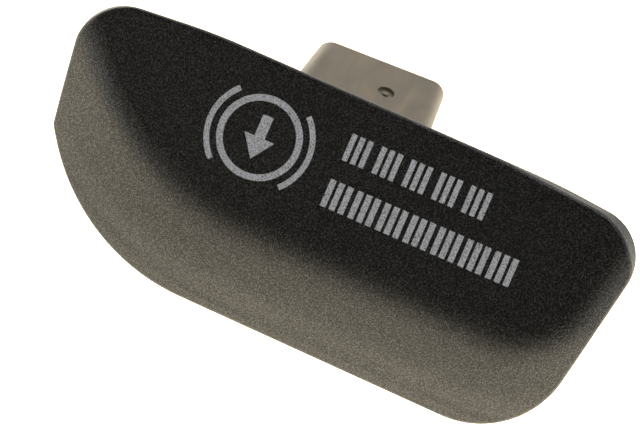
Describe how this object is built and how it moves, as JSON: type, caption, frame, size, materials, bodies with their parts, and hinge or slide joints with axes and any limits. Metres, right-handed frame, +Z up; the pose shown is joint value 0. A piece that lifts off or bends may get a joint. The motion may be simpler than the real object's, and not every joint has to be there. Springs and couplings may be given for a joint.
{
  "type": "parking brake release handle",
  "caption": "Hollow moulded pull handle with a raked, crowned face and a clip-on cable retainer behind it.",
  "frame": {"origin": "centre of the cable hole at the outer side of the retainer's rear wall", "axes": "+X across the handle to the driver's right, +Y rearwards along the cable and the pull axis, +Z up; the face looks towards -Y and is raked 37 degrees upwards"},
  "size_m": [0.0933, 0.0351, 0.0419],
  "materials": {
    "handle": "black, fine grain",
    "retainer": "natural nylon, satin"
  },
  "bodies": {
    "root": {"handle_shell": "handle", "cable_retainer": "retainer"}
  },
  "joints": []
}
